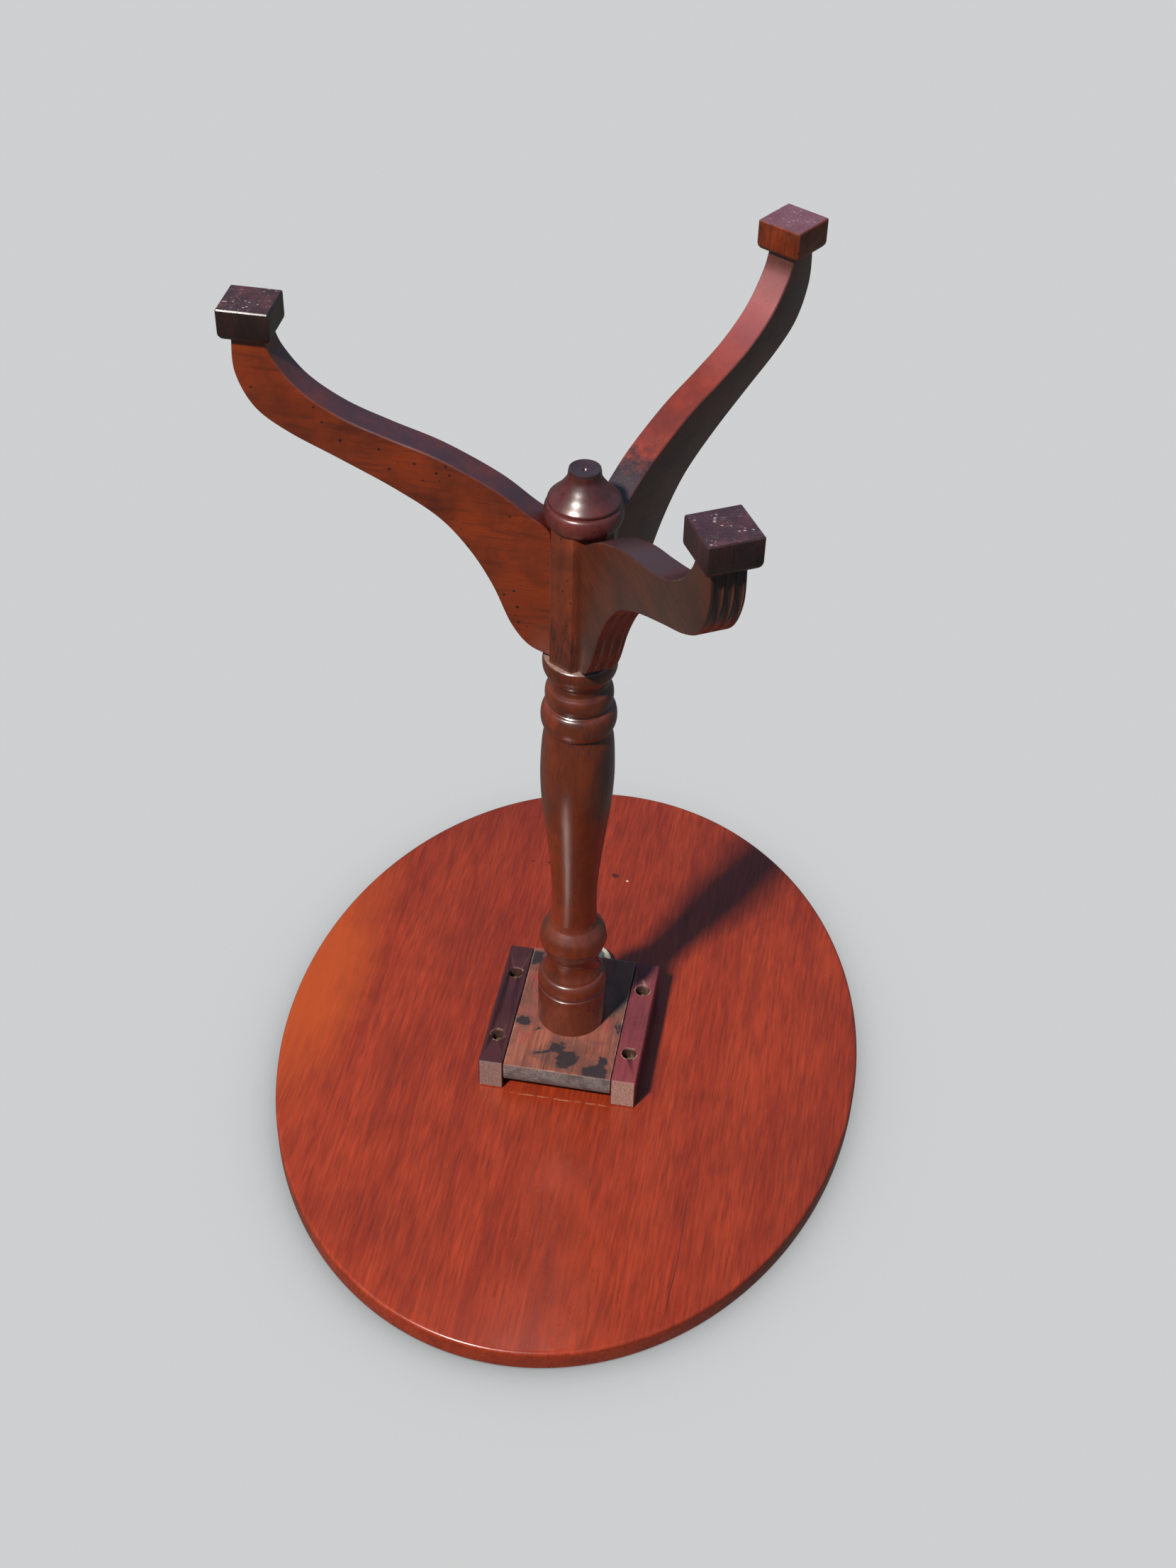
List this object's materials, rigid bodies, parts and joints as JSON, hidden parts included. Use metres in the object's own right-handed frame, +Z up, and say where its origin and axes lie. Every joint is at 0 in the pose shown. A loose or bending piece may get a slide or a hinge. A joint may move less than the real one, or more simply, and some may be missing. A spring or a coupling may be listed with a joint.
{
  "type": "tilt-top tripod table",
  "caption": "Oval top on two bearers that tilts upright about one end of a square block, locked by a sprung catch, on a turned column with three curved legs and square feet",
  "frame": {"origin": "On the floor, at the centre of the turned column's axis. The top's oval and the three feet are centred on this axis.", "axes": "+Z up. Y runs along the oval's long way: the tilting hinge is on the -Y side of the column and the catch is on the +Y side. X runs along the hinge, and one leg points along +X."},
  "size_m": [0.47, 0.61, 0.664],
  "materials": {
    "mahogany_top": "satin polish over red mahogany",
    "mahogany_turned": "glossy dark polish",
    "mahogany_foot": "dark polish, worn soles",
    "bearer_wood": "stained, unpolished",
    "raw_block_wood": "bare planed wood",
    "dowel_wood": "bare hardwood",
    "screw_steel": "dull, slightly tarnished",
    "plated_catch": "dull pale plating"
  },
  "bodies": {
    "pedestal": {"pillar_block": "raw_block_wood", "keeper_plate": "plated_catch", "keeper_screw_1": "screw_steel", "keeper_screw_2": "screw_steel", "column": "mahogany_turned", "tenon_wedge": "dowel_wood", "drop_finial": "mahogany_turned", "leg_1": "mahogany_turned", "leg_2": "mahogany_turned", "leg_3": "mahogany_turned", "foot_1": "mahogany_foot", "foot_2": "mahogany_foot", "foot_3": "mahogany_foot", "foot_dowel_1": "dowel_wood", "foot_dowel_2": "dowel_wood", "foot_dowel_3": "dowel_wood"},
    "top": {"tabletop": "mahogany_top", "bearer_left": "bearer_wood", "bearer_right": "bearer_wood", "bearer_screw_1": "screw_steel", "bearer_screw_2": "screw_steel", "bearer_screw_3": "screw_steel", "bearer_screw_4": "screw_steel", "pivot_pin_left": "screw_steel", "pivot_pin_right": "screw_steel", "catch_case": "plated_catch", "catch_screw_1": "screw_steel", "catch_screw_2": "screw_steel", "catch_spring": "screw_steel"},
    "bolt": {"catch_bolt": "plated_catch"}
  },
  "joints": [
    {"name": "tilt", "type": "hinge", "parent": "pedestal", "child": "top", "pos_m": [0, -0.0463, 0.6255], "axis": [1, 0, 0], "range_deg": [0, 90]},
    {"name": "catch_draw", "type": "slide", "parent": "top", "child": "bolt", "axis": [0, 1, 0], "range_m": [0, 0.0065], "stiffness_N_per_m": 120, "springref_m": -0.004, "deforming": ["catch_spring"]}
  ]
}
